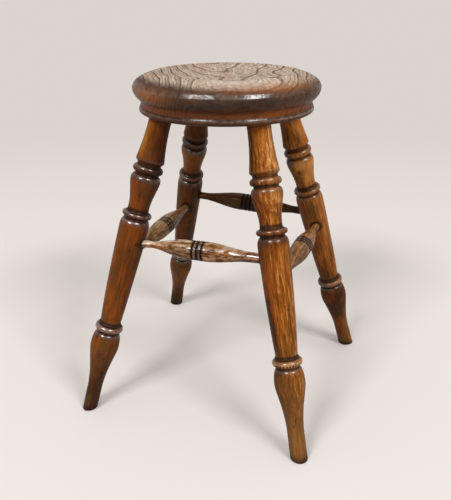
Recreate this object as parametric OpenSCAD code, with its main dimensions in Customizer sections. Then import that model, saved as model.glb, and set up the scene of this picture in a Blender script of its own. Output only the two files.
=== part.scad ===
// Stool with a thick round seat board on four splayed, turned legs, which four turned
// stretchers tie together in a box. Every joint is a round tenon glued into a blind hole.
// It was bored by eye, so the feet stand a little off a true square and the stretchers
// are a little off level. Lengths are in millimetres. The origin is on the floor, midway
// between the outermost feet. The front faces -Y and the right side faces +X.

/* [Stool] */
// Height of the underside of the seat above the floor
seat_under_h = 472; // [430:1:520]
// Splay of the legs, seen square on from the front or the side, in degrees
leg_splay = 12.9; // [8:0.1:15]
// From the widest edge of the seat in to the middle of each leg's head
head_inset = 37; // [34:0.5:50]

/* [Strays of the feet from a true square, along X and Y] */
// Stray of the front left foot
front_left_stray = [1, 2]; // [-20:0.5:20]
// Stray of the front right foot
front_right_stray = [-3.5, 3.5]; // [-20:0.5:20]
// Stray of the back left foot
back_left_stray = [-11.5, 19]; // [-20:0.5:20]
// Stray of the back right foot
back_right_stray = [7, -16.5]; // [-20:0.5:20]

/* [Seat board] */
// Diameter of the board at its widest line
seat_d = 282; // [260:1:320]
// Thickness of the board at the crest of its rim
seat_thick = 57; // [54:0.5:64]
// Height of the widest line above the underside
belly_h = 38; // [34:0.5:44]
// Height of the small bead that runs round the bottom of the edge
edge_bead_h = 9; // [7:0.5:11]
// Height of the shallow hollow between the small bead and the rolled rim
cove_h = 11.5; // [10:0.5:14]
// How far the small bead is set in from the widest line
edge_bead_in = 9; // [8:0.5:9.5]
// How far the crease over the small bead is set in from the widest line
crease_in = 10; // [10:0.5:11]
// How far the deepest line of the hollow is set in from the widest line
cove_in = 11.5; // [11.5:0.5:13]
// How far the foot of the rolled rim is set in from the widest line
roll_foot_in = 8; // [6:0.5:9]
// How far the edge of the flat underside is set in from the widest line
under_in = 17; // [14:0.5:18]
// How far the crest of the rim is set in from the widest line
crest_in = 38; // [20:0.5:50]
// Depth of the dish in the top of the seat
dish_deep = 5; // [1:0.5:7]

/* [Leg head and joint in the seat] */
// Diameter of the straight head of each leg, which is also its tenon
head_d = 34; // [30:0.5:36]
// Length of the straight head that shows below the seat
head_l = 10; // [8:1:16]
// Length of the tenon inside the seat
head_tenon_l = 36; // [28:1:38]

/* [Upper turning of the leg] */
// From the underside of the seat down to the sharp edge of the flared collar
collar_l = 68.5; // [60:0.5:76]
// Diameter of the collar at its sharp edge
collar_d = 43.8; // [40:0.2:48]
// Height of the chamfer under the collar
undercut_h = 4; // [2:0.5:6]
// Diameter of the necks and grooves between the beads
neck_d = 36.6; // [34:0.2:39]
// Height of the neck between the collar and the upper bead
neck_h = 3.5; // [2:0.5:6]
// Diameter of the upper bead
bead_d = 46; // [42:0.5:50]
// Height of the upper bead
bead_h = 11; // [8:0.5:14]
// Height of each groove
groove_h = 3; // [2:0.5:5]
// Diameter of the vase at its shoulder
vase_d = 46; // [42:0.5:50]
// Height of the shoulder of the vase
vase_shoulder_h = 8; // [6:0.5:12]
// Length of the taper of the vase, from its shoulder to the waist
vase_l = 41; // [32:1:50]
// Diameter of the waist
waist_d = 32.8; // [29:0.2:36]
// Height of the straight part of the waist
waist_h = 5; // [2:0.5:9]
// Height of the hollow flare from the waist out to the ring
flare_h = 5; // [3:0.5:8]
// Diameter of the ring under the waist
ring_d = 45.5; // [41:0.5:49]
// Height of the ring
ring_h = 8; // [6:0.5:11]

/* [Column of the leg] */
// Diameter of the column at its shoulder
column_d = 46; // [42:0.5:50]
// Height of the shoulder of the column
column_shoulder_h = 12; // [8:0.5:18]
// Diameter of the column at its foot, on the cuff
column_foot_d = 32.4; // [29:0.2:36]

/* [Cuff and foot of the leg] */
// Diameter of the straight foot where it meets the floor
foot_d = 26.6; // [24:0.2:30]
// Diameter of the ankle, the thinnest line above the foot
ankle_d = 25.8; // [23:0.2:29]
// Distance of the ankle from the floor, along the leg
ankle_l = 43; // [34:1:52]
// Diameter of the foot's vase
foot_vase_d = 46; // [42:0.5:50]
// Length of the swell from the ankle to the widest line of the foot's vase
foot_vase_l = 75; // [60:1:90]
// Height of the shoulder over the foot's vase
foot_shoulder_h = 24.5; // [18:0.5:30]
// Diameter of the groove over the foot's vase
cuff_groove_d = 34; // [31:0.5:37]
// Diameter of the cuff bead
cuff_d = 45; // [41:0.5:49]
// Height of the cuff bead
cuff_h = 11; // [8:0.5:14]
// Diameter of the small step on the cuff bead
step_d = 35.6; // [34:0.2:38]
// Height of the small step
step_h = 3; // [2:0.5:4]

/* [Stretchers] */
// Height of the front stretcher's left end above the floor
front_left_end_h = 283; // [282:1:300]
// Height of the front stretcher's right end above the floor
front_right_end_h = 287; // [282:1:300]
// Height of the back stretcher's left end above the floor
back_left_end_h = 286; // [282:1:300]
// Height of the back stretcher's right end above the floor
back_right_end_h = 282; // [282:1:300]
// Height of the left and right stretchers above the floor
side_stretcher_h = 263; // [230:0.5:266]
// How far the left and right stretchers sit to the right of the middle of their legs
side_stretcher_off = 5.5; // [-6:0.5:6]
// Diameter of the straight ends, which are also the tenons
stretcher_end_d = 13; // [11:0.2:14.4]
// From the middle of the leg to where the straight end begins to swell
stretcher_end_l = 38; // [28:1:44]
// How far each tenon runs past the middle of its leg
tenon_past = 3; // [0:0.5:6]
// Largest diameter of the swell
swell_d = 31; // [26:0.5:34]
// Number of grooves cut round the middle of each stretcher
ring_grooves = 3; // [1:1:4]
// Distance from one groove to the next
groove_pitch = 7.4; // [6:0.2:9]
// Width of each of these grooves
ring_groove_w = 3.2; // [1.6:0.2:4]
// Depth of each of these grooves
ring_groove_deep = 2.6; // [1:0.2:3]

/* [Fits] */
// Gap for glue all round each tenon
glue_gap = 0.1; // [0.05:0.05:0.2]
// Gap between the end of each tenon and the bottom of its hole
end_gap = 0.3; // [0.1:0.1:1]

/* [Hidden] */
$fn = 96;

SEAT_COLOR = [0.35, 0.22, 0.14];
LEG_COLOR = [0.43, 0.23, 0.11];
STRETCHER_COLOR = [0.47, 0.27, 0.13];

// Corners of the stool: the signs of X and Y, and the stray of the foot there
FRONT_LEFT = [[-1, -1], front_left_stray];
FRONT_RIGHT = [[1, -1], front_right_stray];
BACK_LEFT = [[-1, 1], back_left_stray];
BACK_RIGHT = [[1, 1], back_right_stray];
CORNERS = [FRONT_LEFT, FRONT_RIGHT, BACK_LEFT, BACK_RIGHT];

// Stretchers: the corners of the two ends, the height of each, and the shift along X
FRONT = [[FRONT_LEFT, front_left_end_h], [FRONT_RIGHT, front_right_end_h], 0];
BACK = [[BACK_LEFT, back_left_end_h], [BACK_RIGHT, back_right_end_h], 0];
LEFT = [[FRONT_LEFT, side_stretcher_h], [BACK_LEFT, side_stretcher_h], side_stretcher_off];
RIGHT = [[FRONT_RIGHT, side_stretcher_h], [BACK_RIGHT, side_stretcher_h], side_stretcher_off];
STRETCHERS = [FRONT, BACK, LEFT, RIGHT];

// Turned curves: the two handles of a Bezier curve, each as its share of the way across
// and its share of the way along, from the curve's start to its end
QUARTER_OUT = [[0.55, 0], [1, 0.45]];     // leaves square to the axis, ends along it
QUARTER_IN = [[0, 0.55], [0.45, 1]];      // leaves along the axis, ends square to it
ANKLE_SWELL = [[0, 0.45], [1, 0.84]];     // hollow first, then a full swell
COLUMN_BOW = [[0.33, 0.12], [0.93, 0.67]]; // quick start, then nearly straight
VASE_TAPER = [[0, 0.35], [1, 0.8]];       // hollow at the waist, round at the shoulder
COLLAR_FLARE = [[0.38, 0.2], [1, 0.55]];  // straight off the edge, easing into the head
SWELL_TAPER = [[0, 0.36], [0.7, 0.6]];    // round at the middle, then a hollow cone
COVE_IN = [[0.5, 0.2], [1, 0.6]];         // from the crease in to the deepest line
COVE_OUT = [[0, 0.4], [0.5, 0.8]];        // from there out to the foot of the roll
UNDER_ROLL = [[0.5, 0.2], [1, 0.5]];      // from that foot out to the widest line
ROLL = [[0, 0.4], [0.6, 1]];              // from the widest line in to the crest
DISH = [[0.12, 0], [0.35, 1]];            // level at the crest and in the middle
BEAD_STEPS = 5;
CURVE_STEPS = 9;

// Positions that follow from the splay, the insets and the strays
head_out = (seat_d / 2 - head_inset) / sqrt(2);
foot_out = head_out + seat_under_h * tan(leg_splay);
spots = [for (corner = CORNERS) corner[0] * foot_out + corner[1]];
spots_x = [for (spot = spots) spot.x];
spots_y = [for (spot = spots) spot.y];
middle = [min(spots_x) + max(spots_x), min(spots_y) + max(spots_y)] / 2;

// Ends of a leg's middle line on the floor and at the seat's underside, its length
// between them, and the point of that line at a height
function foot_point(corner) = [each corner[0] * foot_out + corner[1] - middle, 0];
function head_point(corner) = [each corner[0] * head_out - middle, seat_under_h];
function leg_length(corner) = norm(head_point(corner) - foot_point(corner));
function leg_point(corner, h) =
    foot_point(corner) + (head_point(corner) - foot_point(corner)) * h / seat_under_h;

// Where one end of a stretcher's middle line lies in its leg
function stretcher_point(stretcher, end) =
    leg_point(stretcher[end][0], stretcher[end][1]) + [stretcher[2], 0, 0];

function mix2(p, q, share) =
    [p.x + (q.x - p.x) * share[0], p.y + (q.y - p.y) * share[1]];

// Points of a Bezier curve from p to q without p itself
function sweep(p, q, shape, steps) =
    let (a = mix2(p, q, shape[0]), b = mix2(p, q, shape[1]))
    [for (i = [1:steps]) let (t = i / steps, s = 1 - t)
        s * s * s * p + 3 * s * s * t * a + 3 * s * t * t * b + t * t * t * q];

// Points of a half-round bead from radius r at height low to the same radius at high
function bead(r, bead_r, low, high) =
    let (crown = [bead_r, (low + high) / 2])
    concat(sweep([r, low], crown, QUARTER_OUT, BEAD_STEPS),
        sweep(crown, [r, high], QUARTER_IN, BEAD_STEPS));

// Sets a solid that stands on the origin along the line from one point to another
module along(from, to) {
    v = to - from;
    translate(from)
        rotate([0, acos(v.z / norm(v)), atan2(v.y, v.x)])
            children();
}

// Outline of the seat board, as radius and height above its underside
function seat_outline() =
    let (
        widest = [seat_d / 2, belly_h],
        under = [seat_d / 2 - under_in, 0],
        bead_out = [seat_d / 2 - edge_bead_in, edge_bead_h / 2],
        crease = [seat_d / 2 - crease_in, edge_bead_h],
        cove = [seat_d / 2 - cove_in, edge_bead_h + cove_h / 2],
        roll_foot = [seat_d / 2 - roll_foot_in, edge_bead_h + cove_h],
        crest = [seat_d / 2 - crest_in, seat_thick],
        dish = [head_d / 4, seat_thick - dish_deep]
    )
    concat(
        [[0, 0], under],
        sweep(under, bead_out, QUARTER_OUT, BEAD_STEPS),
        sweep(bead_out, crease, QUARTER_IN, BEAD_STEPS),
        sweep(crease, cove, COVE_IN, BEAD_STEPS),
        sweep(cove, roll_foot, COVE_OUT, BEAD_STEPS),
        sweep(roll_foot, widest, UNDER_ROLL, CURVE_STEPS),
        sweep(widest, crest, ROLL, CURVE_STEPS),
        sweep(crest, dish, DISH, CURVE_STEPS),
        [[0, dish.y]]
    );

// Turned features of the foot, measured along the leg up from the floor
foot_vase_at = ankle_l + foot_vase_l;
cuff_groove_at = foot_vase_at + foot_shoulder_h;
cuff_at = cuff_groove_at + groove_h;
step_at = cuff_at + cuff_h;
column_at = step_at + step_h;
// Turned features of the upper part, measured along the leg down from the seat
neck_down = collar_l + undercut_h;
bead_down = neck_down + neck_h + bead_h;
vase_top_down = bead_down + groove_h;
vase_down = vase_top_down + vase_shoulder_h;
waist_down = vase_down + vase_l + waist_h;
ring_down = waist_down + flare_h + ring_h;
column_top_down = ring_down + groove_h;
column_shoulder_down = column_top_down + column_shoulder_h;
// Spare length at the foot, which the level cut takes off
foot_spare = foot_d / 2;

// Outline of a leg, as radius and distance along the leg from the floor, for the length
// between the floor and the seat
function leg_outline(leg_l) =
    let (
        neck_r = neck_d / 2,
        bead_at = leg_l - bead_down,
        ring_at = leg_l - ring_down,
        waist_at = leg_l - waist_down,
        ankle = [ankle_d / 2, ankle_l],
        foot_vase = [foot_vase_d / 2, foot_vase_at],
        cuff_groove = [cuff_groove_d / 2, cuff_groove_at],
        column_foot = [column_foot_d / 2, column_at],
        column_shoulder = [column_d / 2, leg_l - column_shoulder_down],
        column_top = [neck_r, leg_l - column_top_down],
        ring_out = [ring_d / 2, ring_at + ring_h / 2],
        ring_top = [(ring_d + neck_d) / 4, ring_at + ring_h],
        waist = [waist_d / 2, waist_at],
        vase = [vase_d / 2, leg_l - vase_down],
        vase_top = [neck_r, leg_l - vase_top_down],
        collar = [collar_d / 2, leg_l - collar_l],
        head = [head_d / 2, leg_l - head_l]
    )
    concat(
        [[0, -foot_spare], [foot_d / 2, -foot_spare], [foot_d / 2, 0], ankle],
        sweep(ankle, foot_vase, ANKLE_SWELL, CURVE_STEPS),
        sweep(foot_vase, cuff_groove, QUARTER_IN, BEAD_STEPS),
        [[cuff_groove_d / 2, cuff_at]],
        bead(cuff_groove_d / 2, cuff_d / 2, cuff_at, step_at),
        [[step_d / 2, step_at], [step_d / 2, column_at], column_foot],
        sweep(column_foot, column_shoulder, COLUMN_BOW, CURVE_STEPS),
        sweep(column_shoulder, column_top, QUARTER_IN, BEAD_STEPS),
        [[neck_r, ring_at]],
        sweep([neck_r, ring_at], ring_out, QUARTER_OUT, BEAD_STEPS),
        sweep(ring_out, ring_top, QUARTER_IN, BEAD_STEPS),
        sweep(ring_top, waist, QUARTER_OUT, BEAD_STEPS),
        [[waist_d / 2, waist_at + waist_h]],
        sweep([waist_d / 2, waist_at + waist_h], vase, VASE_TAPER, CURVE_STEPS),
        sweep(vase, vase_top, QUARTER_IN, BEAD_STEPS),
        [[neck_r, bead_at]],
        bead(neck_r, bead_d / 2, bead_at, bead_at + bead_h),
        [[neck_r, leg_l - neck_down], collar],
        sweep(collar, head, COLLAR_FLARE, CURVE_STEPS),
        [[head_d / 2, leg_l + head_tenon_l], [0, leg_l + head_tenon_l]]
    );

// Holes for the tenons of the two stretchers that meet at a corner, each bored along its
// stretcher from beyond the leg's surface to a little past its middle
module mortises(corner) {
    depth = tenon_past + end_gap;
    for (stretcher = STRETCHERS, end = [0, 1])
        if (stretcher[end][0] == corner) {
            here = stretcher_point(stretcher, end);
            there = stretcher_point(stretcher, 1 - end);
            way = (there - here) / norm(there - here);
            along(here - depth * way, there)
                cylinder(h = depth + column_d, d = stretcher_end_d + 2 * glue_gap);
        }
}

module leg(corner) {
    color(LEG_COLOR)
        difference() {
            along(foot_point(corner), head_point(corner))
                rotate_extrude() polygon(leg_outline(leg_length(corner)));
            // The foot is cut level with the floor
            translate(foot_point(corner) - [0, 0, 2 * foot_spare])
                cylinder(h = 2 * foot_spare, d = 2 * foot_d);
            mortises(corner);
        }
}

// Outline of one stretcher, as radius and distance from its middle, for a given half length
function stretcher_outline(half_span) =
    let (
        end_r = stretcher_end_d / 2,
        swell_r = swell_d / 2,
        end = half_span + tenon_past,
        swell_end = [end_r, half_span - stretcher_end_l],
        first = groove_pitch * (ring_grooves - 1) / 2,
        lip = ring_groove_w / 2,
        floor_r = swell_r - ring_groove_deep,
        swell_start = [swell_r, first + ring_groove_w],
        taper = concat([swell_start], sweep(swell_start, swell_end, SWELL_TAPER, CURVE_STEPS)),
        grooves = [for (k = [0:ring_grooves - 1]) let (y = groove_pitch * k - first)
            each [[swell_r, y - lip], [floor_r, y - lip / 3], [floor_r, y + lip / 3],
                [swell_r, y + lip]]]
    )
    concat(
        [[0, -end], [end_r, -end]],
        [for (i = [len(taper) - 1:-1:0]) [taper[i].x, -taper[i].y]],
        grooves,
        taper,
        [[end_r, end], [0, end]]
    );

module stretcher(ends) {
    left = stretcher_point(ends, 0);
    right = stretcher_point(ends, 1);
    color(STRETCHER_COLOR)
        along((left + right) / 2, right)
            rotate_extrude() polygon(stretcher_outline(norm(right - left) / 2));
}

module seat() {
    color(SEAT_COLOR)
        difference() {
            translate([-middle.x, -middle.y, seat_under_h])
                rotate_extrude() polygon(seat_outline());
            for (corner = CORNERS)
                along(foot_point(corner), head_point(corner))
                    translate([0, 0, leg_length(corner) - head_d])
                        rotate(90)
                            cylinder(h = head_d + head_tenon_l + end_gap,
                                d = head_d + 2 * glue_gap);
        }
}

module leg_front_left() leg(FRONT_LEFT);
module leg_front_right() leg(FRONT_RIGHT);
module leg_back_left() leg(BACK_LEFT);
module leg_back_right() leg(BACK_RIGHT);
module stretcher_front() stretcher(FRONT);
module stretcher_back() stretcher(BACK);
module stretcher_left() stretcher(LEFT);
module stretcher_right() stretcher(RIGHT);

seat();
leg_front_left();
leg_front_right();
leg_back_left();
leg_back_right();
stretcher_front();
stretcher_back();
stretcher_left();
stretcher_right();
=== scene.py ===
"""The windsor stool, dressed: nine wooden pieces, each on its own CAD node.

Lengths are in millimetres up to the moment a mesh is made. The origin is on the floor,
midway between the outermost feet; the front faces -Y and the right side faces +X.
"""
import math

import bpy
import numpy as np
from mathutils import Matrix


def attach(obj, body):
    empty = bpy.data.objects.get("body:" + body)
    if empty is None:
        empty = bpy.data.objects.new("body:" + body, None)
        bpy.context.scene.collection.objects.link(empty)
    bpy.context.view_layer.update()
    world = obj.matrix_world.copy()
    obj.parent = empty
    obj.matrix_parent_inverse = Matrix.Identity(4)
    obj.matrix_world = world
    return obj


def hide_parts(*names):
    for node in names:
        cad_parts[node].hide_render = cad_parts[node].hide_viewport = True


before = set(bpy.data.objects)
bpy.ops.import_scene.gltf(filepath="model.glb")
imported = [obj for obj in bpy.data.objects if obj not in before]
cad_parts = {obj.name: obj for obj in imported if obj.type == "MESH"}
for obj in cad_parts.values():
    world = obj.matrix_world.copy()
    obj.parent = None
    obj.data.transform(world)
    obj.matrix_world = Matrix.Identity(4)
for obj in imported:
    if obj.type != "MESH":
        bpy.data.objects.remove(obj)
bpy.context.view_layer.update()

MM = 0.001

# Sizes that the CAD has too
SEAT_UNDER = 472.0
SEAT_D = 282.0
LEG_SPLAY = 12.9
HEAD_INSET = 37.0
CORNERS = {
    "front_left": ((-1, -1), (1, 2)),
    "front_right": ((1, -1), (-3.5, 3.5)),
    "back_left": ((-1, 1), (-11.5, 19)),
    "back_right": ((1, 1), (7, -16.5)),
}
STRETCHERS = {
    "front": (("front_left", 283), ("front_right", 287), 0),
    "back": (("back_left", 286), ("back_right", 282), 0),
    "left": (("front_left", 263), ("back_left", 263), 5.5),
    "right": (("front_right", 263), ("back_right", 263), 5.5),
}
HEAD_TENON = 36.0
TENON_PAST = 3.0
STRETCHER_END = 38.0
STRETCHER_SWELL_R = 15.5
STRETCHER_END_R = 6.5
ANKLE = 43.0
CUFF = 151.0
SEAT_T = 57.0
SEAT_DISH = 5.0

# Heights above the seat's underside between which its rim is worn flat
WORN_FLAT = (37.8, 43.5)
# How far apart the pieces lie in the field of their wood's figure
FIGURE_APART = 900.0

# Turned curves: two handles, each as its share of the way across and of the way along
QUARTER_OUT = ((0.55, 0), (1, 0.45))
QUARTER_IN = ((0, 0.55), (0.45, 1))
ANKLE_SWELL = ((0, 0.45), (1, 0.84))
COLUMN_BOW = ((0.33, 0.12), (0.93, 0.67))
VASE_TAPER = ((0, 0.35), (1, 0.8))
COLLAR_FLARE = ((0.38, 0.2), (1, 0.55))
SWELL_TAPER = ((0, 0.36), (0.7, 0.6))
COVE_IN = ((0.5, 0.2), (1, 0.6))
COVE_OUT = ((0, 0.4), (0.5, 0.8))
UNDER_ROLL = ((0.5, 0.2), (1, 0.5))
ROLL = ((0, 0.4), (0.6, 1))
DISH = ((0.12, 0), (0.35, 1))


# Where the pieces stand

def set_out():
    """Foot and head of each leg's middle line. A head lies on a circle round the seat's
    middle; its foot lies further out by the height times the tangent of the splay, plus
    the foot's own stray. All are then moved so that the origin is midway between the
    outermost feet."""
    head_out = (SEAT_D / 2 - HEAD_INSET) / math.sqrt(2)
    foot_out = head_out + SEAT_UNDER * math.tan(math.radians(LEG_SPLAY))
    signs = np.array([corner[0] for corner in CORNERS.values()], float)
    strays = np.array([corner[1] for corner in CORNERS.values()], float)
    feet = signs * foot_out + strays
    middle = (feet.min(0) + feet.max(0)) / 2
    level = np.zeros((len(signs), 1))
    feet = np.hstack([feet - middle, level])
    heads = np.hstack([signs * head_out - middle, level + SEAT_UNDER])
    return dict(zip(CORNERS, feet)), dict(zip(CORNERS, heads)), -middle


FEET, HEADS, SEAT_MIDDLE = set_out()


def leg_point(corner, height):
    """Point of a leg's middle line at a height above the floor."""
    return FEET[corner] + (HEADS[corner] - FEET[corner]) * height / SEAT_UNDER


def stretcher_ends(name):
    """Points where a stretcher's middle line meets those of its two legs."""
    left, right, shift = STRETCHERS[name]
    return tuple(leg_point(*end) + np.array([shift, 0, 0]) for end in (left, right))


# Half sections

def draw(*moves, steps=28):
    """Half section of a turning, as radius and distance along it. A move is a point that
    a straight line runs to, or a point and the shape of the cubic Bezier curve that runs
    to it: s^3 P + 3 s^2 t A + 3 s t^2 B + t^3 Q, with s = 1 - t."""
    points = [np.array(moves[0], float)]
    for x, y, *shape in moves[1:]:
        start, end = points[-1], np.array([x, y], float)
        if not shape:
            points.append(end)
            continue
        a, b = (start + (end - start) * np.array(share) for share in shape[0])
        t = np.linspace(0, 1, steps + 1)[1:, None]
        s = 1 - t
        points.extend(s**3 * start + 3 * s * s * t * a + 3 * s * t * t * b + t**3 * end)
    return np.array(points)


def wear_round(section, soft, rings, fine=0.2):
    """The same half section with its arrises worn round, as a given number of rings. It
    is resampled evenly along its length, blurred with a bell curve of the width soft,
    and thinned so that the rings crowd where it bends most."""
    run = np.r_[0, np.cumsum(np.hypot(*np.diff(section, axis=0).T))]
    count = int(run[-1] / fine) + 1
    even = np.linspace(0, run[-1], count)
    dense = np.stack([np.interp(even, run, section[:, k]) for k in (0, 1)], 1)
    reach = int(4 * soft / fine)
    weights = np.exp(-0.5 * (np.arange(-reach, reach + 1) * fine / soft) ** 2)
    weights /= weights.sum()
    # The ends are carried on by reflection through their last point, so they stay put
    before = 2 * dense[0] - dense[reach:0:-1]
    after = 2 * dense[-1] - dense[-2:-reach - 2:-1]
    longer = np.vstack([before, dense, after])
    soft_line = np.stack([np.convolve(longer[:, k], weights, "valid") for k in (0, 1)], 1)
    slope = np.unwrap(np.arctan2(*np.gradient(soft_line, axis=0).T))
    crowd = 1 + 9 * np.minimum(np.abs(np.gradient(slope)) / fine, 0.8)
    share = np.r_[0, np.cumsum((crowd[1:] + crowd[:-1]) / 2)]
    pick = np.interp(np.linspace(0, share[-1], rings), share, even)
    return np.stack([np.interp(pick, even, soft_line[:, k]) for k in (0, 1)], 1)


def leg_section(length):
    """Half section of a leg: foot, ankle and foot vase, cuff bead with its small step,
    long column, ring, waist and vase, bead, collar, and the straight head."""
    top = length
    return draw(
        (0, 0), (11.6, 0), (13.3, 1.8), (12.9, ANKLE),
        (23, 118, ANKLE_SWELL), (17, 142.5, QUARTER_IN), (17, 145.5),
        (22.5, CUFF, QUARTER_OUT), (17, 156.5, QUARTER_IN),
        (17.8, 156.6), (17.8, 159.4), (16.2, 159.5),
        (23, top - 172, COLUMN_BOW), (18.3, top - 160, QUARTER_IN), (18.3, top - 157),
        (22.75, top - 153, QUARTER_OUT), (20.5, top - 149, QUARTER_IN),
        (16.4, top - 144, QUARTER_OUT), (16.4, top - 139),
        (23, top - 98, VASE_TAPER), (18.3, top - 90, QUARTER_IN), (18.3, top - 87),
        (23, top - 81.5, QUARTER_OUT), (18.3, top - 76, QUARTER_IN), (18.3, top - 72.5),
        (21.9, top - 68.5), (17, top - 10, COLLAR_FLARE),
        (17, top + HEAD_TENON), (0, top + HEAD_TENON))


def stretcher_section(half_span):
    """Half section of a stretcher: straight tenon ends, two long cones that swell to the
    middle, and three cut grooves with two rings between them."""
    wide, thin = STRETCHER_SWELL_R, STRETCHER_END_R
    deep = wide - 2.6
    cone = draw((wide, 10.6), (thin, half_span - STRETCHER_END, SWELL_TAPER))
    end = half_span + TENON_PAST
    left = np.vstack([[(0, -end), (thin, -end)], cone[::-1] * (1, -1)])
    cuts = []
    for at in (-7.4, 0, 7.4):
        cuts += [(wide, at - 1.6), (deep, at - 0.53), (deep, at + 0.53), (wide, at + 1.6)]
    return np.vstack([left, cuts, cone, [(thin, end), (0, end)]])


def seat_section():
    """Half section of the board: flat underside, small bead, crease, shallow hollow, rolled
    rim and dish."""
    edge, dish = SEAT_D / 2, SEAT_T - SEAT_DISH
    return draw(
        (0, 0), (edge - 17, 0), (edge - 9, 4.5, QUARTER_OUT), (edge - 10, 9, QUARTER_IN),
        (edge - 11.5, 14.75, COVE_IN), (edge - 8, 20.5, COVE_OUT),
        (edge, 38, UNDER_ROLL), (edge - 38, SEAT_T, ROLL), (8.5, dish, DISH), (0, dish))


# Meshes

def bell(value, middle, width):
    """1 at the middle, falling off to both sides like a bell of that half width."""
    return np.exp(-(((value - middle) / width) ** 2))


def apart(angle, middle):
    """How far angles lie from another, the shorter way round, in radians."""
    return np.angle(np.exp(1j * (angle - middle)))


def bumps(rng, *at, size, many=14):
    """Smooth random field from 0 to 1: a mean of sines along random directions, each
    coordinate measured in steps of its own size."""
    total = 0
    for _ in range(many):
        way = rng.normal(size=len(at))
        total = total + np.sin(sum(w * x / s for w, x, s in zip(way, at, size))
                               + rng.uniform(0, 2 * math.pi))
    return 0.5 + 0.5 * total / math.sqrt(many)


def dents(rng, angle, run, radius, count, low, high, deep):
    """Small knocks: a sum of bell-shaped hollows at random places on a turned surface."""
    total = 0
    for _ in range(count):
        at, turn = rng.uniform(low, high), rng.uniform(0, 2 * math.pi)
        wide, tall, depth = rng.uniform(1.5, 4.5), rng.uniform(1.5, 6), rng.uniform(0.2, 1)
        around = apart(angle, turn) * radius
        total = total + deep * depth * bell(around, 0, wide) * bell(run, at, tall)
    return total


def axes_on(base, tip):
    """Three unit vectors for a turning: two across it, the first of them level, and one
    along it."""
    along = (tip - base) / np.linalg.norm(tip - base)
    level = np.cross((0, 0, 1), along)
    level /= np.linalg.norm(level)
    return level, np.cross(along, level), along


def skin(name, grid, marks):
    """A piece with a closed turned surface, from its grid of points, rings by places round,
    whose first and last rings are single points on the axis. Four-sided faces join
    neighbours, the last column joins the first, and fans close the two poles. Marks are
    numbers or vectors for the finish to read, spread over the same grid."""
    rings, around = grid.shape[:2]
    body = np.arange((rings - 2) * around).reshape(rings - 2, around) + 1
    beside = np.roll(body, -1, 1)
    quads = np.stack([body[:-1], beside[:-1], beside[1:], body[1:]], -1).reshape(-1, 4)
    last = (rings - 2) * around + 1
    bottom = np.stack([np.zeros(around, int), beside[0], body[0]], -1)
    top = np.stack([np.full(around, last), body[-1], beside[-1]], -1)

    def spread(values):
        width = values.shape[2:]
        inner = values[1:-1].reshape((-1,) + width)
        return np.concatenate([values[:1, 0], inner, values[-1:, 0]])

    mesh = bpy.data.meshes.new(name)
    mesh.from_pydata((spread(grid) * MM).tolist(), [],
                     bottom.tolist() + quads.tolist() + top.tolist())
    mesh.shade_smooth()
    for mark, values in marks.items():
        values = np.asarray(values)
        flat = spread(np.broadcast_to(values, (rings, around) + values.shape[2:]))
        plain = flat.ndim == 1
        layer = mesh.attributes.new(mark, "FLOAT" if plain else "FLOAT_VECTOR", "POINT")
        layer.data.foreach_set("value" if plain else "vector",
                               flat.astype(np.float32).ravel())
    piece = bpy.data.objects.new(name, mesh)
    bpy.context.scene.collection.objects.link(piece)
    return piece


def hollows(section, reach, full):
    """How deep each ring of a half section lies between its neighbours, from 0 to 1: the
    largest radius within reach, less its own, over the depth that counts as full."""
    gap = np.abs(section[:, None, 1] - section[None, :, 1])
    widest = np.where(gap < reach, section[None, :, 0], 0).max(1)
    return np.clip((widest - section[:, 0]) / full, 0, 1)


def crowns(section, full=0.055, soft=1.6):
    """How near each ring of a half section is to a sharp outward bend, from 0 to 1. A bend
    is as sharp as its direction turns for each millimetre along it, less the turn of a
    gentle swell, over the turn that counts as full. To both sides of a bend the value
    falls off like a bell."""
    step = np.gradient(section, axis=0)
    turn = -np.gradient(np.unwrap(np.arctan2(step[:, 0], step[:, 1])))
    sharp = np.clip((turn / np.hypot(*step.T) - 0.025) / full, 0, 1)
    near = bell(section[:, None, 1], section[None, :, 1], soft)
    return (near * sharp).max(1)


def upturned(section):
    """How far each ring of a half section turns its face along the axis, from -1 to 1: the
    fall of its radius for each millimetre along the section."""
    step = np.gradient(section, axis=0)
    return -step[:, 0] / np.hypot(*step.T)


def to_line(points, start, end):
    """Distance from each point to a straight line between two points, and how far along
    that line the point lies."""
    way = (end - start) / np.linalg.norm(end - start)
    off = points - start
    return np.linalg.norm(off - (off @ way)[..., None] * way, axis=-1), off @ way


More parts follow.
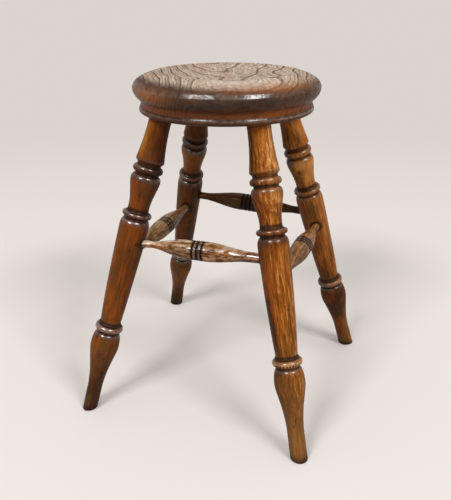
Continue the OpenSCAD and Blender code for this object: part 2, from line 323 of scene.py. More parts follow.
# Where hands have rubbed a leg paler or left it darker, and where light and shade are
# painted
# on it: the height, the way round from its level direction in degrees, the half height
# and half width, and how much
RUBBED_AND_PAINTED_LIGHT = {
    "front_left": (
        (34, 155, 50, 200, -0.95), (112, 75, 26, 30, -0.2), (147, 155, 7, 200, 0.1),
        (270, 100, 60, 40, -0.1), (393, 200, 9, 60, -0.5), (170, 245, 110, 24, 0.5),
        (447, 100, 24, 8, 1.0), (395, 230, 60, 12, -0.35), (440, 190, 34, 14, -0.2),
        (300, 155, 200, 200, -0.1)),
    "front_right": (
        (105, 65, 45, 200, -0.3), (25, 10, 50, 24, 0.6), (147, 65, 7, 200, 1.25),
        (323, 65, 8, 200, -0.9), (20, 130, 60, 26, -0.1), (105, -25, 45, 30, -0.35),
        (280, 65, 60, 200, 0.15), (290, 155, 60, 30, -0.4), (370, 110, 35, 200, 0.05),
        (240, -10, 400, 26, -0.7), (225, -25, 35, 14, -0.3), (440, 95, 40, 16, 0.5),
        (440, 0, 40, 16, -0.2)),
    "back_left": (
        (75, 200, 45, 200, 0.7), (323, 155, 8, 40, 0.6), (8, 200, 34, 200, -1.5),
        (365, 220, 30, 200, 0.9), (440, 220, 30, 200, 0.3)),
    "back_right": (
        (108, -25, 34, 200, -1.35), (8, 20, 34, 200, 0.6), (368, 10, 26, 24, 1.5),
        (300, -10, 60, 200, 0.45), (440, 30, 30, 30, 0.45), (147, -25, 7, 200, 0.8),
        (368, -40, 26, 200, 0.3), (440, -60, 30, 60, 0.35)),
}
# Where polish has lasted better or worse than elsewhere, in the same terms
GLOSS = {
    "front_left": (
        (393, 210, 9, 30, -0.85), (323, 110, 9, 40, 0.45), (149, 100, 8, 40, 0.5),
        (149, 245, 8, 25, -0.4)),
    "front_right": ((393, 65, 9, 200, -0.25), (323, 65, 9, 200, -0.2)),
    "back_left": (
        (393, 220, 9, 200, -0.4), (323, 155, 9, 25, 1.0), (323, 300, 9, 25, -0.5)),
    "back_right": ((393, -115, 9, 28, -0.5), (323, -60, 9, 18, 0.4)),
}
# How much dust of the floor dulls each foot, and how thick stain and polish still are
DUST = {"front_left": 0.18, "front_right": 1.0, "back_left": 0.05, "back_right": 0.15}
STAIN = {"front_left": 0.75, "front_right": 0.52, "back_left": 0.55, "back_right": 0.35}
POLISH = {"front_left": 1.1, "front_right": 0.75, "back_left": 0.85, "back_right": 0.8}
# Amber places on the seat's rim, and two low ones of painted reflection in its hollow: the
# way round in degrees, the height, the half width and half height, and how much
AMBER_AND_SHEEN = ((-124, 34, 17, 9, 1.0), (-38, 51, 32, 7.5, 1.0), (-8, 34, 22, 9, 0.1),
         (-30, 14, 26, 8, 0.5), (-125, 14, 20, 8, 0.27))


def patches(places, height, angle, radius=20):
    """Sum of bell-shaped patches on a leg, each told in the terms of the tables above."""
    total = 0
    for at, turned, tall, wide, much in places:
        beside = apart(angle, math.radians(turned)) * radius
        total = total + much * bell(beside, 0, wide) * bell(height, at, tall)
    return total


def make_leg(corner, seed, pith, around=180, rings=500):
    """One leg: its half section turned round the line from the foot to the head, less the
    wear. Below the ankle the points slide along the leg, the more the nearer they are to
    the floor, so that the foot ends level."""
    rng = np.random.default_rng(seed)
    base, tip = FEET[corner], HEADS[corner]
    level, rise, along = axes_on(base, tip)
    length = np.linalg.norm(tip - base)
    section = wear_round(leg_section(length), 0.45, rings)
    section[0, 0] = section[-1, 0] = 0
    radius, run = section[:, :1], section[:, 1:]
    angle = np.linspace(0, 2 * math.pi, around, endpoint=False)[None, :]
    cos, sin = np.cos(angle), np.sin(angle)
    # Shrunk a little out of round, with slow waves and small knocks
    free = np.clip((length - run) / 12, 0, 1) * np.clip(radius / 10, 0, 1)
    less = 0.25 * (1 + np.cos(2 * (angle - rng.uniform(0, math.pi)))) / 2
    less = less + 0.3 * bumps(rng, 18 * cos, 18 * sin, run, size=(9, 9, 25))
    knocks = dents(rng, angle, run, radius=20, count=46, low=20, high=length - 70, deep=0.5)
    less = less + knocks
    if corner == "front_left":
        # The outer side of this foot is worn thinner
        outward = np.clip(-(cos * level[0] + sin * rise[0]), 0, 1)
        less = less + 3.6 * outward * np.clip(1 - run / 95, 0, 1) ** 1.3
    nicks = 0
    if corner == "front_right":
        # A row of small nicks along the lower half of the cuff
        spaced = 0.5 + 0.5 * np.cos(31 * angle + 1.2 * np.sin(3 * angle))
        nicks = spaced * np.exp(-(((run - 148.6) / 1.9) ** 4))
    radius = radius - less * free - 1.2 * nicks
    lean = -radius * (cos * level[2] + sin * rise[2]) / along[2]
    shifted = run + lean * np.clip(1 - run / ANKLE, 0, 1)
    across, aside = radius * cos, radius * sin
    grid = (base + across[..., None] * level + aside[..., None] * rise
            + shifted[..., None] * along)
    grid[0], grid[-1] = grid[0].mean(0), grid[-1].mean(0)
    # Dirt lies in the grooves. Painted shade darkens the leg just under the seat and round
    # the stretchers' ends, and it is darker just above the floor
    grime_and_shade = hollows(section, 7, 6)[:, None] * 0.66
    grime_and_shade = np.maximum(grime_and_shade, np.exp(-np.clip(length - run, 0, None) / 5))
    for name, ends in STRETCHERS.items():
        for one, other in ((0, 1), (1, 0)):
            if ends[one][0] == corner:
                points = stretcher_ends(name)
                away, reach = to_line(grid, points[one], points[other])
                ring = np.exp(-np.clip(away - STRETCHER_END_R, 0, None) / 3.5)
                grime_and_shade = np.maximum(grime_and_shade, np.where(reach > 0, ring, 0))
    height = grid[..., 2]
    grime_and_shade = np.maximum(grime_and_shade, 0.8 * np.exp(-height / 10))
    grime_and_shade = np.maximum(grime_and_shade, nicks) + 0.9 * knocks
    # The outer side is painted lighter and the inner side darker, as light falls there, the
    # leg is darker towards the floor, and patches of wear and of painted light and shade
    # are added
    outward = (base - tip)[:2] / np.linalg.norm((base - tip)[:2])
    facing = cos * (level[:2] @ outward) + sin * (rise[:2] @ outward)
    wear_and_light = 0.5 + 0.5 * facing - 0.45 * bell(height, 0, 45)
    wear_and_light = wear_and_light + patches(RUBBED_AND_PAINTED_LIGHT[corner], height, angle)
    # Polish lasts on the upper faces of the beads and wears off below them
    crown, cuff = crowns(section)[:, None], bell(run, CUFF, 7)
    upper = np.clip(0.3 + 1.1 * upturned(section)[:, None] + 0.5 * cuff, 0, 1)
    lasting = np.clip(1 + patches(GLOSS[corner], height, angle), 0, 2)
    blank = np.stack(
        [across + pith[0], aside + pith[1], shifted + FIGURE_APART * seed], -1)
    return skin("turned_leg_" + corner, grid, {
        "blank": blank, "grime_and_shade": grime_and_shade, "wear_and_light": wear_and_light,
        "polish": crown * upper * POLISH[corner] * lasting,
        "stain": crown * STAIN[corner] * (1 - 0.6 * cuff),
        "dust": DUST[corner] * np.clip(1.2 - height / 150, 0, 1)})


def make_stretcher(name, seed, pith, around=60, rings=330):
    """One stretcher, turned round the line between the middles of its two legs. The front
    one is worn flat on top by feet."""
    rng = np.random.default_rng(seed)
    left, right = stretcher_ends(name)
    level, rise, along = axes_on(left, right)
    half = np.linalg.norm(right - left) / 2
    section = wear_round(stretcher_section(half), 0.3, rings)
    section[0, 0] = section[-1, 0] = 0
    radius, run = section[:, :1], section[:, 1:]
    angle = np.linspace(0, 2 * math.pi, around, endpoint=False)[None, :]
    cos, sin = np.cos(angle), np.sin(angle)
    free = np.clip((half - 6 - np.abs(run)) / 10, 0, 1) * np.clip(radius / 6, 0, 1)
    less = 0.25 * bumps(rng, 12 * cos, 12 * sin, run, size=(8, 8, 18))
    less = less + dents(rng, angle, run, radius=12, count=22, low=20 - half,
                        high=half - 20, deep=0.35)
    upward = np.clip(cos * level[2] + sin * rise[2], 0, 1)
    if name == "front":
        # Worn on top by feet; turned thin at its left neck and stout at its right one
        less = less + 0.5 * upward**2 * bell(run, 0, 55)
        less = less + 0.35 * bumps(rng, 15 * cos, 15 * sin, run, size=(5, 5, 7), many=24)
        less = less + 1.5 * bell(run, -72, 17)
        less = less - 1.5 * np.clip((run - 48) / 30, 0, 1) * np.clip((108 - run) / 8, 0, 1)
    radius = radius - less * free
    across, aside = radius * cos, radius * sin
    grid = ((left + right) / 2 + across[..., None] * level + aside[..., None] * rise
            + run[..., None] * along)
    grid[0], grid[-1] = grid[0].mean(0), grid[-1].mean(0)
    # Dirt lies in the grooves, and painted shade darkens the ends where they enter the legs
    grime_and_shade = np.maximum(hollows(section, 2.2, 1.9)[:, None],
                       np.exp(-np.clip(half - 19 - np.abs(run), 0, None) / 3))
    blank = np.stack(np.broadcast_arrays(
        across + pith[0], aside + pith[1], run + FIGURE_APART * seed), -1)
    crown = crowns(section)[:, None]
    # The top is painted lighter, as light falls from above. The front one is also worn
    # paler on top by feet, and its left end is painted pale, partly as a painted highlight
    wear_and_light, polish = 0.25 + 0.75 * upward, np.maximum(crown, 0.7)
    if name == "front":
        wear_and_light = wear_and_light + 1.1 * upward * bell(run, -84, 17)
        polish = np.maximum(crown, 1.3)
    return skin("turned_stretcher_" + name, grid, {
        "blank": blank, "grime_and_shade": grime_and_shade, "wear_and_light": wear_and_light,
        "polish": polish * (0.3 + 0.7 * upward), "stain": crown, "dust": 0})


# The plank of the seat: which way its fibres run, and the places that some of its yearly
# rings pass on the top, in millimetres from the middle, counted towards the heart
GRAIN = np.array([0.42, -0.907])
YEARS = {
    1: ((-119, -11), (-88, -57), (-60, -100), (-38, -133)),
    2: ((-117, 15), (-78, -48), (-44, -102), (-26, -133), (134, -50), (118, -7), (110, 60)),
    3: ((-121, 52), (-80, -16), (-30, -86), (-14, -126), (116, -78), (115, -38), (107, -11),
        (86, 70), (60, -128)),
    4: ((-108, 56), (-59, -15), (-30, -51), (-5, -89), (1, -112), (8, -134), (62, 18),
        (74, -40), (67, -54), (57, -118), (78, -112), (93, -94), (101, -70)),
    5: ((-99, 67), (-56, 13), (-20, -15), (4, -27), (26, -47), (41, -62), (39, -27),
        (39, 17), (19, 98)),
    6: ((-94, 85), (-61, 48), (-34, 31), (-26, 52), (-32, 113)),
    7: ((-60, 88),),
}


def growth(x, y, z):
    """Years of growth at points given from the middle of the underside: the smoothest
    sheet, like a thin plate, that nearly takes each of the given years at its places. It
    is a plane plus a share of d^2 log d for each place, with d the distance from it. The
    rings lean with depth."""
    x = x + 0.3 * (SEAT_T - SEAT_DISH - z)
    places = np.array([place for row in YEARS.values() for place in row]) / 100
    years = np.array([year for year, row in YEARS.items() for _ in row], float)

    def plate(across, along):
        squares = across**2 + along**2 + 1e-9
        return squares * np.log(squares) / 2

    count = len(places)
    plane = np.column_stack([np.ones(count), places])
    ease = 0.004 * np.eye(count)
    bend = plate(*(places[:, None] - places).transpose(2, 0, 1)) + ease
    system = np.block([[bend, plane], [plane.T, np.zeros((3, 3))]])
    shares = np.linalg.solve(system, np.r_[years, 0, 0, 0])
    across, along = x / 100, y / 100
    total = shares[-3] + shares[-2] * across + shares[-1] * along
    for share, (left, near) in zip(shares, places):
        total = total + share * plate(across - left, along - near)
    return total


def make_seat(seed=5, around=360, rings=262):
    """The seat: its half section turned round an upright line, less a little wear."""
    rng = np.random.default_rng(seed)
    section = wear_round(seat_section(), 0.6, rings, fine=0.25)
    section[0, 0] = section[-1, 0] = 0
    drawn, run = section[:, :1], section[:, 1:]
    angle = np.linspace(0, 2 * math.pi, around, endpoint=False)[None, :]
    cos, sin = np.cos(angle), np.sin(angle)
    # Handling has worn a narrow flat along the rolled rim, rippled at its front left
    edge = SEAT_D / 2
    side = section[section[:, 0] > 125]
    bottom, top = WORN_FLAT
    low, high = np.interp(WORN_FLAT, side[:, 1], side[:, 0])
    flat = low + (high - low) * (run - bottom) / (top - bottom)
    worn = np.clip(drawn - flat, 0, None) * (drawn > 125)
    ripple = np.sin(2 * math.pi * (run / 4 + edge * angle / 13))
    ripple = ripple * bell(apart(angle, -1.57), 0, 0.28) * np.clip(worn / 0.4, 0, 1)
    rim = np.clip((drawn - 96) / 20, 0, 1) * np.clip(run / 6, 0, 1)
    less = 0.9 * bumps(rng, edge * cos, edge * sin, run, size=(32, 32, 24))
    less = less + 0.2 * bumps(rng, edge * cos, edge * sin, run, size=(14, 14, 8), many=24)
    knocks = dents(rng, angle, run, radius=edge, count=60, low=4, high=54, deep=0.5)
    radius = drawn - (less + knocks) * rim - worn - 0.07 * ripple
    x, y = radius * cos, radius * sin
    sunk = (run > 50) * np.clip((SEAT_T - run) / 3, 0, 1)
    z = run - 0.5 * bumps(rng, x, y, size=(38, 38)) * sunk
    grid = np.stack([x + SEAT_MIDDLE[0], y + SEAT_MIDDLE[1], z + SEAT_UNDER], -1)
    grid[0], grid[-1] = grid[0].mean(0), grid[-1].mean(0)
    years = growth(x, y, z) + 0.25 * bumps(rng, x, y, z, size=(16, 16, 16))
    # Width of a year there, from the steepest of the slopes along and round the surface
    reach = np.maximum(np.hypot(*np.gradient(section, axis=0).T), 0.05)[:, None]
    slope = np.hypot(np.gradient(years, axis=0) / reach,
                     (np.roll(years, -1, 1) - np.roll(years, 1, 1))
                     / (4 * math.pi / around * np.maximum(radius, 3)))
    blank = np.stack([x * -GRAIN[1] + y * GRAIN[0], z, x * GRAIN[0] + y * GRAIN[1]], -1)
    # The dry top, from 1 inside to 0 on the rim, whose stain reaches in at the left; its
    # pale colour is partly painted sheen
    dry_and_sheen = np.where(drawn < 118, 1, np.clip((run - 40) / 15, 0, 1)) * (run > 30)
    stained = bell(apart(angle, -2.35), 0, 0.6) * np.clip((radius - 114) / 12, 0, 1)
    # The rolled rim is polished, and the small bead below it most of all on the right
    outer = drawn > 100
    roll = 0.07 * (run > 20) + 0.34 * bell(run, 41, 5)
    kept = 0.36 + 0.76 * bell(apart(angle, -0.5), 0, 0.6)
    # Amber wear on the rim, and painted reflection low in the hollow
    amber_and_sheen = 0
    for turned, at, wide, tall, much in AMBER_AND_SHEEN:
        beside = np.degrees(apart(angle, math.radians(turned)))
        amber_and_sheen = amber_and_sheen + much * bell(beside, 0, wide) * bell(run, at, tall)
    return skin("seat_board", grid, {
        "blank": blank, "years": years, "gap": 1 / np.clip(slope, 0.02, 0.4),
        "top": np.clip(dry_and_sheen - 0.2 * stained, 0, 1), "under": (run < 0.5) * 1.0,
        # A painted shade line in the crease above the small bead, and dirt in knocks
        "grime_and_shade": outer * 0.9 * bell(run, 9, 1.2) + 0.5 * knocks,
        "polish": np.clip(outer * (roll + bell(run, 7.4, 1.8) * kept), 0, 1),
        # Painted sheen, lighter at the front of the top
        "painted_sheen": bell(apart(angle, -1.1), 0, 0.6) * np.clip((radius - 75) / 40, 0, 1),
        # Amber wear, with painted reflection low in the hollow
        "amber_and_sheen": amber_and_sheen * np.clip((radius - 109) / 14, 0, 1),
        # The hollow painted a lighter red-brown, partly as painted light
        "cove": outer * bell(run, 14.5, 6.8)})


# Finishes

def paint(red, green, blue):
    """Colour as it is seen, from 0 to 255, as the shader's linear colour."""
    seen = np.array([red, green, blue]) / 255
    linear = np.where(seen > 0.04045, ((seen + 0.055) / 1.055) ** 2.4, seen / 12.92)
    return (*(float(value) for value in linear), 1.0)


class Value:
    """A socket of a shader, so that sums on it read as plain Python."""

    def __init__(self, finish, socket):
        self.finish, self.socket = finish, socket

    def maths(self, operation, *others, swap=False):
        terms = (self, *others)[::-1] if swap else (self, *others)
        return self.finish.node("ShaderNodeMath", {"operation": operation},
                                dict(enumerate(terms)))

    def __add__(self, other): return self.maths("ADD", other)
    def __sub__(self, other): return self.maths("SUBTRACT", other)
    def __rsub__(self, other): return self.maths("SUBTRACT", other, swap=True)
    def __mul__(self, other): return self.maths("MULTIPLY", other)
    def __truediv__(self, other): return self.maths("DIVIDE", other)
    __radd__, __rmul__ = __add__, __mul__


class Finish:
    """The nodes of a material or of the world."""

    def __init__(self, owner):
        self.owner = owner
        owner.use_nodes = True
        self.tree = owner.node_tree
        self.tree.nodes.clear()

    def node(self, kind, settings=None, inputs=None, out=0):
        """Makes one node from its type, its settings, and the values or links of its
        sockets, and gives one of its outputs."""
        made = self.tree.nodes.new(kind)
        settings = dict(settings or {})
        stops = settings.pop("stops", ())
        for key, value in settings.items():
            setattr(made, key, value)
        for index, (at, colour) in enumerate(stops):
            elements = made.color_ramp.elements
            stop = elements[index] if index < 2 else elements.new(at)
            stop.position, stop.color = at, colour
        for key, value in (inputs or {}).items():
            if isinstance(value, Value):
                self.tree.links.new(value.socket, made.inputs[key])
            else:
                made.inputs[key].default_value = value
        return Value(self, made.outputs[out]) if made.outputs else None

    def mark(self, name, out=2):
        """Mark of the mesh under the surface: a number, or with out=1 a vector."""
        return self.node("ShaderNodeAttribute", {"attribute_name": name}, out=out)

    def scaled(self, vector, *sizes):
        """A vector divided by a size for each direction."""
        return self.node("ShaderNodeVectorMath", {"operation": "MULTIPLY"},
                         {0: vector, 1: [1 / size for size in sizes]})

    def noise(self, vector, detail=2.0, rough=0.5, distort=0.0):
        return self.node("ShaderNodeTexNoise", {}, {
            "Vector": vector, "Scale": 1.0, "Detail": detail, "Roughness": rough,
            "Distortion": distort})

    def step(self, value, low, high):
        """Eases from 0 at low to 1 at high."""
        return self.node("ShaderNodeMapRange", {"interpolation_type": "SMOOTHSTEP"},
                         {"Value": value, "From Min": low, "From Max": high})

    def ramp(self, value, *stops):
        """Colour along a row of places and colours, in rising order."""
        return self.node("ShaderNodeValToRGB", {"stops": stops}, {0: value})

    def mix(self, factor, one, other, blend="MIX"):
        return self.node("ShaderNodeMix", {"data_type": "RGBA", "blend_type": blend},
                         {0: factor, 6: one, 7: other}, out=2)

    def bump(self, height, distance):
        """Normals of a relief whose height runs from 0 to a distance in millimetres."""
        return self.node("ShaderNodeBump", {}, {
            "Strength": 1.0, "Distance": distance * MM, "Height": height})

    def surface(self, **sockets):
        """Ends a material in the all-round shader, with sockets told by their names."""
        shader = self.node("ShaderNodeBsdfPrincipled", {}, {
            key.replace("_", " "): value for key, value in sockets.items()})
        self.node("ShaderNodeOutputMaterial", {}, {"Surface": shader})
        return self.owner


SOIL = paint(26, 15, 10)


def turned_wood(name, tones, rub, shine, streaks=1.0, gloss=1.0):
    """Old stained hardwood on a turned piece. The tone runs from dark to gold in streaks
    along the fibre, in wider stripes where the yearly rings round the heart of the tree
    are cut, and in slow patches. Worn sides are lighter, and the sides and tops that face
    the light are painted lighter. Open pores are short dark strokes. Stain and polish are
    thick on the beads, dirt lies in the grooves, and painted shade lies where pieces meet.
    Rub makes the tone and the polish blotchy, and shine is how strongly the polish
    reflects."""
    dark, mid, light, gold, red = (paint(*tone) for tone in tones)
    wood = Finish(bpy.data.materials.new(name))
    blank = wood.mark("blank", out=1)
    grime_and_shade, wear_and_light, polish = wood.mark("grime_and_shade"), wood.mark("wear_and_light"), wood.mark("polish")
    dust = wood.mark("dust")
    patch = wood.noise(wood.scaled(blank, 20, 20, 50), detail=2)
    mottle = wood.noise(wood.scaled(blank, 5, 5, 10), detail=3, rough=0.6)
    wide = wood.noise(wood.scaled(blank, 3.6, 3.6, 70), detail=2)
    streak = wood.noise(wood.scaled(blank, 1.2, 1.2, 32), detail=3, rough=0.6)
    fibre = wood.noise(wood.scaled(blank, 0.6, 0.6, 12), detail=2, rough=0.6)
    pore = wood.noise(wood.scaled(blank, 0.5, 0.5, 8), detail=1)
    flat = wood.node("ShaderNodeVectorMath", {"operation": "MULTIPLY"},
                     {0: blank, 1: (1, 1, 0)})
    heart = wood.node("ShaderNodeVectorMath", {"operation": "LENGTH"}, {0: flat}, out=1)
    years = (heart + wide * 7 + patch * 16) / 3.6
    ring = (years * (2 * math.pi)).maths("SINE")
    tone = (wide - 0.5) * (1.1 * streaks) + (streak - 0.5) * (0.9 * streaks)
    tone = tone + (fibre - 0.5) * (0.5 * streaks) + (patch - 0.5) * 0.8
    tone = tone + ring * (0.05 * streaks) + (mottle - 0.5) * (0.9 * rub)
    # The worn mark also carries painted light: outer sides and tops lighter
    tone = tone + wear_and_light * 0.42 + 0.24
    body = wood.ramp(tone, (0.08, dark), (0.42, mid), (0.68, light), (0.98, gold))
    body = wood.mix(wood.step(patch + (streak - 0.5) * 0.5, 0.5, 0.7) * 0.5, body, red)
    body = wood.mix((1 - wood.step(patch, 0.3, 0.5)) * 0.35, body, paint(99, 70, 34))
    body = wood.mix(dust * (wide * 0.5 + 0.35), body, paint(116, 84, 44))
    pores = wood.step(pore, 0.56, 0.64)
    body = wood.mix(pores * (0.35 * streaks), body, dark)
    body = wood.mix(wood.mark("stain") * 0.85, body, dark)
    # Dirt in the grooves and painted shade where pieces meet darken it towards soil
    soil_and_shade = wood.step(grime_and_shade + (wide - 0.5) * 0.4, 0.06, 0.62)
    body = wood.mix(soil_and_shade * 0.85, body, SOIL)
    height = streak * 0.5 + fibre * 0.35 + wide * 0.35 - pores * 0.5 + mottle * (2.0 * rub)
    whole = gloss * 0.8 * wood.step(mottle, 0.4 * rub, 0.4 + 0.2 * rub)
    rough = 0.38 + pores * 0.2 + (streak - 0.5) * 0.3 - wear_and_light * 0.06
    return wood.surface(
        Base_Color=body, Roughness=rough,
        Normal=wood.bump(height * (1 - polish), 0.2), IOR=1.45, Specular_IOR_Level=0.06,
        Coat_Weight=polish * whole * (1 - soil_and_shade * 0.85) + 0.02,
        Coat_Roughness=0.22, Coat_IOR=shine)


def seat_wood():
    """The plank of the seat: ring-porous wood with a bold figure, dry and rubbed grey-brown
    on top with painted sheen, brightest at its front, stained and waxed nearly black on the
    rim, with amber where hands have worn it and painted reflection low in the hollow, a
    red-brown hollow that is partly painted light, and painted shade in the crease above the
    small bead."""
    wood = Finish(bpy.data.materials.new("seat_wood"))
    blank = wood.mark("blank", out=1)
    top, grime_and_shade, under = wood.mark("top"), wood.mark("grime_and_shade"), wood.mark("under")
    ragged = wood.noise(wood.scaled(blank, 5, 5, 12), detail=3, rough=0.6)
    patch = wood.noise(wood.scaled(blank, 30, 30, 50), detail=3)
    # Each year ends in a dark line that is sharp outside and feathered inside
    years = wood.mark("years") + (ragged - 0.5) * 0.22
    inside = (1 - years.maths("FRACT")) * wood.mark("gap")
    bold = wood.step(patch + (ragged - 0.5) * 0.6, 0.3, 0.55) * 0.4 + 0.6
    sparse = wood.step(wood.mark("gap"), 14, 40)
    line = (1 - wood.step(inside / (sparse * 0.6 + 1), 0.9, 3.0)) * bold
    for share, much in ((0.36, 1.0), (0.69, 0.8)):
        between = (1 - (years + share).maths("FRACT")) * wood.mark("gap")
        early = (1 - wood.step(between, 0.5, 2.5)) * (1.45 - bold) * much
        line = line.maths("MAXIMUM", early)
    shade = 1 - wood.step(inside, 1.0, 9.0)
    fine = (years * 44 + ragged * 2.5).maths("SINE")
    wide = wood.noise(wood.scaled(blank, 6, 6, 60), detail=2)
    fibre = wood.noise(wood.scaled(blank, 0.9, 0.9, 16), detail=3, rough=0.65)
    strand = wood.noise(wood.scaled(blank, 1.3, 1.3, 26), detail=2, distort=0.4)
    pore = wood.noise(wood.scaled(blank, 0.5, 0.5, 4), detail=1)
    pores = wood.step(pore, 0.54, 0.64) * (0.35 + line * 0.65)
    # The dry top's pale grey-beige is partly painted sheen
    dry_and_sheen = wood.mix(wood.step(wide * 0.5 + fibre * 0.5, 0.35, 0.65),
                   paint(162, 141, 123), paint(206, 187, 168))
    dry_and_sheen = wood.mix(wood.step(patch, 0.45, 0.7) * 0.4, dry_and_sheen, paint(174, 138, 105))
    dry_and_sheen = wood.mix(wood.step(fine, 0.1, 0.95) * (sparse * 0.1 + 0.35), dry_and_sheen,
                   paint(105, 80, 60))
    dry_and_sheen = wood.mix(wood.step(strand, 0.52, 0.66) * 0.5, dry_and_sheen, paint(90, 67, 49))
    dry_and_sheen = wood.mix(shade * 0.42, dry_and_sheen, paint(118, 84, 58))
    dry_and_sheen = wood.mix(line * 0.86, dry_and_sheen, paint(56, 38, 29))
    dry_and_sheen = wood.mix(pores * 0.4, dry_and_sheen, paint(69, 49, 37))
    # Painted sheen, lighter at the front of the top
    dry_and_sheen = wood.mix(wood.mark("painted_sheen") * 0.3, dry_and_sheen, paint(210, 196, 182))
    waxed = wood.mix(wood.step(patch + (wide - 0.5) * 0.4, 0.35, 0.75),
                     paint(53, 35, 24), paint(77, 49, 30))
    # The hollow is painted a lighter red-brown, partly as painted light
    waxed = wood.mix(wood.mark("cove") * 0.85, waxed, paint(93, 50, 27))
    # Amber wear, with painted reflection low in the hollow
    amber_and_sheen = wood.mark("amber_and_sheen") * (0.4 + wide * 0.6)
    waxed = wood.mix(amber_and_sheen, waxed, paint(157, 90, 32))
    waxed = wood.mix(line * 0.25 + pores * 0.2, waxed, SOIL)
    # Painted shade in the crease above the small bead, and dirt in its knocks
    waxed = wood.mix(wood.step(grime_and_shade, 0.2, 0.9) * 0.8, waxed, paint(19, 10, 5))
    edge = top + (ragged - 0.5) * 0.12 + (wide - 0.5) * 0.24
    body = wood.mix(wood.step(edge, 0.34, 0.98), waxed, dry_and_sheen)
    body = wood.mix(amber_and_sheen * top * 0.55, body, paint(158, 106, 60))
    body = wood.mix(under, body, paint(90, 62, 41))
    ripple = wood.step(wood.noise(wood.scaled(blank, 6, 6, 34), detail=2), 0.36, 0.62)
    height = fibre * 0.4 - line * 0.8 - pores * 0.8 + fine * 0.12 + ragged * top * 0.6
    rough = 0.36 + top * 0.16 + pores * 0.2 + line * 0.1 + under * 0.3
    return wood.surface(
        Base_Color=body, Roughness=rough,
        Normal=wood.bump(height, 0.35), IOR=1.45, Specular_IOR_Level=0.08,
        Coat_Weight=wood.mark("polish") * (1 - top * 0.8) * (ripple * 0.9 + 0.35),
        Coat_Roughness=0.24, Coat_IOR=2.1)


# The pieces

def fit(piece, node, material):
    """Puts a piece on the stool in place of its CAD node, with its finish."""
    piece.data.materials.append(material)
    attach(piece, "root")
    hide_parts(node)


fit(make_seat(), "seat", seat_wood())

# For each leg: its seed, the place of its middle from the heart of the tree, how strong
# its streaks are, how strongly its polish reflects, and the tones of its wood, from dark
# to gold, with that of its redder patches
LEGS = {
    "front_left": (1, (46, 18), 0.55, 2.1, (41, 18, 5), (86, 43, 10), (116, 62, 13),
                   (161, 99, 32), (106, 44, 10)),
    "front_right": (2, (-14, 52), 1.15, 2.0, (54, 27, 6), (110, 57, 11), (151, 87, 22),
                    (210, 154, 92), (126, 54, 10)),
    "back_left": (3, (38, -30), 0.6, 2.0, (34, 18, 5), (77, 42, 13), (110, 63, 23),
                  (142, 92, 43), (90, 41, 10)),
    "back_right": (4, (-40, 34), 0.8, 1.8, (45, 23, 6), (101, 55, 16), (148, 88, 31),
                   (191, 125, 58), (120, 51, 12)),
}
for corner, (seed, heart, streaks, shine, *tones) in LEGS.items():
    fit(make_leg(corner, seed, heart), "leg_" + corner,
        turned_wood("leg_wood_" + corner, tones, 0.25, shine, streaks=streaks))

# For each stretcher: the same without the streaks, with how thick its polish is
RUNGS = {
    "front": (6, (30, 24), 1.2, 2.3, (46, 24, 9), (112, 68, 30), (164, 120, 76),
              (228, 204, 176), (124, 68, 28)),
    "back": (7, (28, 20), 0.12, 1.8, (24, 12, 3), (54, 29, 10), (82, 48, 19),
             (103, 64, 28), (62, 30, 9)),
    "left": (8, (34, -16), 0.9, 1.8, (42, 26, 12), (112, 78, 44), (150, 112, 70),
             (198, 160, 112), (122, 74, 33)),
    "right": (9, (-30, 26), 0.75, 1.8, (39, 20, 8), (104, 65, 31), (146, 100, 56),
              (194, 146, 92), (120, 62, 24)),
}
for name, (seed, heart, gloss, shine, *tones) in RUNGS.items():
    fit(make_stretcher(name, seed, heart), "stretcher_" + name,
        turned_wood("stretcher_wood_" + name, tones, min(gloss, 1), shine, gloss=gloss))


# The floor, the light and the camera

def pale_floor(radius=4500, rings=24, around=96):
    """Round floor: a flat disc of rings."""
    r = np.linspace(0, radius, rings)[:, None]
    angle = np.linspace(0, 2 * math.pi, around, endpoint=False)[None, :]
    grid = np.stack([r * np.cos(angle), r * np.sin(angle), 0 * r * angle], -1)
    index = np.arange(rings * around).reshape(rings, around)
    beside = np.roll(index, -1, 1)
    quads = np.stack([index[:-1], index[1:], beside[1:], beside[:-1]], -1)
    mesh = bpy.data.meshes.new("floor")
    mesh.from_pydata((grid.reshape(-1, 3) * MM).tolist(), [], quads.reshape(-1, 4).tolist())
    piece = bpy.data.objects.new("floor", mesh)
    bpy.context.scene.collection.objects.link(piece)
    return piece


def floor_finish():
    """Matt and pale, and clear further out, so that the disc has no edge."""
    finish = Finish(bpy.data.materials.new("floor"))
    place = finish.node("ShaderNodeTexCoord", out=3)
    far = finish.node("ShaderNodeVectorMath", {"operation": "LENGTH"}, {0: place}, out=1)
    matt = finish.node("ShaderNodeBsdfDiffuse", {}, {"Color": PALE})
    clear = finish.node("ShaderNodeBsdfTransparent")
    fade = finish.node("ShaderNodeMixShader", {},
                       {0: finish.step(far, 1.1, 2.6), 1: matt, 2: clear})
    finish.node("ShaderNodeOutputMaterial", {}, {"Surface": fade})
    return finish.owner


def light_room():
    """The world: soft light, with a pale wall for the camera and for reflections."""
    world = bpy.data.worlds.new("room")
    bpy.context.scene.world = world
    room = Finish(world)
    seen = room.node("ShaderNodeLightPath", out="Is Camera Ray")
    for ray in ("Is Glossy Ray", "Is Transmission Ray"):
        seen = seen.maths("MAXIMUM", room.node("ShaderNodeLightPath", out=ray))
    soft = room.node("ShaderNodeBackground", {},
                     {"Color": (0.98, 0.99, 1.0, 1.0), "Strength": 0.48})
    wall = room.node("ShaderNodeBackground", {}, {"Color": PALE, "Strength": 1.0})
    both = room.node("ShaderNodeMixShader", {}, {0: seen, 1: soft, 2: wall})
    room.node("ShaderNodeOutputWorld", {}, {"Surface": both})


PALE = paint(219, 212, 206)
floor = pale_floor()
floor.data.materials.append(floor_finish())
light_room()


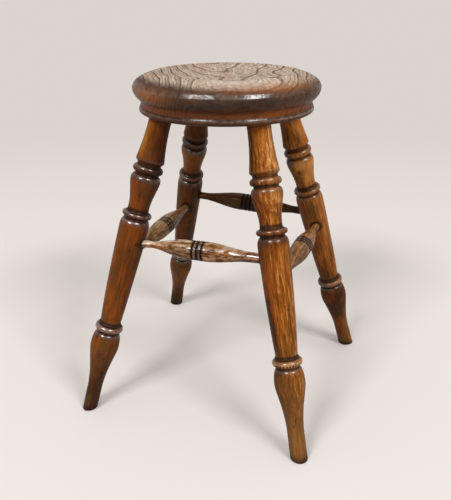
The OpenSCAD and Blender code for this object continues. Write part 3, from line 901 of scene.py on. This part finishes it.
def aim(light, azimuth, height, away=0.0):
    """Hangs a light in a direction given in degrees, azimuth from the front to the right
    and height above the horizon, at a distance from the middle of the stool."""
    holder = bpy.data.objects.new(light.name, light)
    bpy.context.scene.collection.objects.link(holder)
    side, lift = math.radians(azimuth), math.radians(height)
    holder.rotation_euler = (math.pi / 2 - lift, 0, side)
    holder.location = (away * math.cos(lift) * math.sin(side),
                       -away * math.cos(lift) * math.cos(side), 0.3 + away * math.sin(lift))


def window(name, azimuth, height, wide, tall, power):
    """Soft rectangular light, eight metres off."""
    light = bpy.data.lights.new(name, "AREA")
    light.shape, light.size, light.size_y, light.energy = "RECTANGLE", wide, tall, power
    aim(light, azimuth, height, 8.0)


window("left_window", azimuth=-16, height=43, wide=2.5, tall=1.4, power=326)
window("right_window", azimuth=61, height=43, wide=2.7, tall=1.2, power=288)
ceiling = bpy.data.lights.new("ceiling", "SUN")
ceiling.angle, ceiling.energy = math.radians(70), 0.4
aim(ceiling, azimuth=20, height=76)


def set_camera(place, yaw, pitch, roll, focal):
    """The camera at a place in millimetres, turned by yaw about the upright, pitched
    down and rolled, all in degrees, with a focal length in pixels of a frame 500 high."""
    yaw, pitch, roll = (math.radians(value) for value in (yaw, pitch, roll))
    forward = np.array([math.sin(yaw) * math.cos(pitch), math.cos(yaw) * math.cos(pitch),
                        -math.sin(pitch)])
    right = np.array([math.cos(yaw), -math.sin(yaw), 0])
    up = np.cross(right, forward)
    across = math.cos(roll) * right + math.sin(roll) * up
    upward = math.cos(roll) * up - math.sin(roll) * right
    data = bpy.data.cameras.new("camera")
    data.lens = focal / 500 * data.sensor_width
    camera = bpy.data.objects.new("camera", data)
    bpy.context.scene.collection.objects.link(camera)
    turn = Matrix(np.column_stack([across, upward, -forward]).tolist()).to_4x4()
    camera.matrix_world = Matrix.Translation((np.array(place) * MM).tolist()) @ turn
    bpy.context.scene.camera = camera


set_camera((315.376, -870.060, 641.373), yaw=-20.160, pitch=23.768, roll=-0.235,
           focal=595.903)
bpy.context.scene.view_settings.view_transform = "Standard"
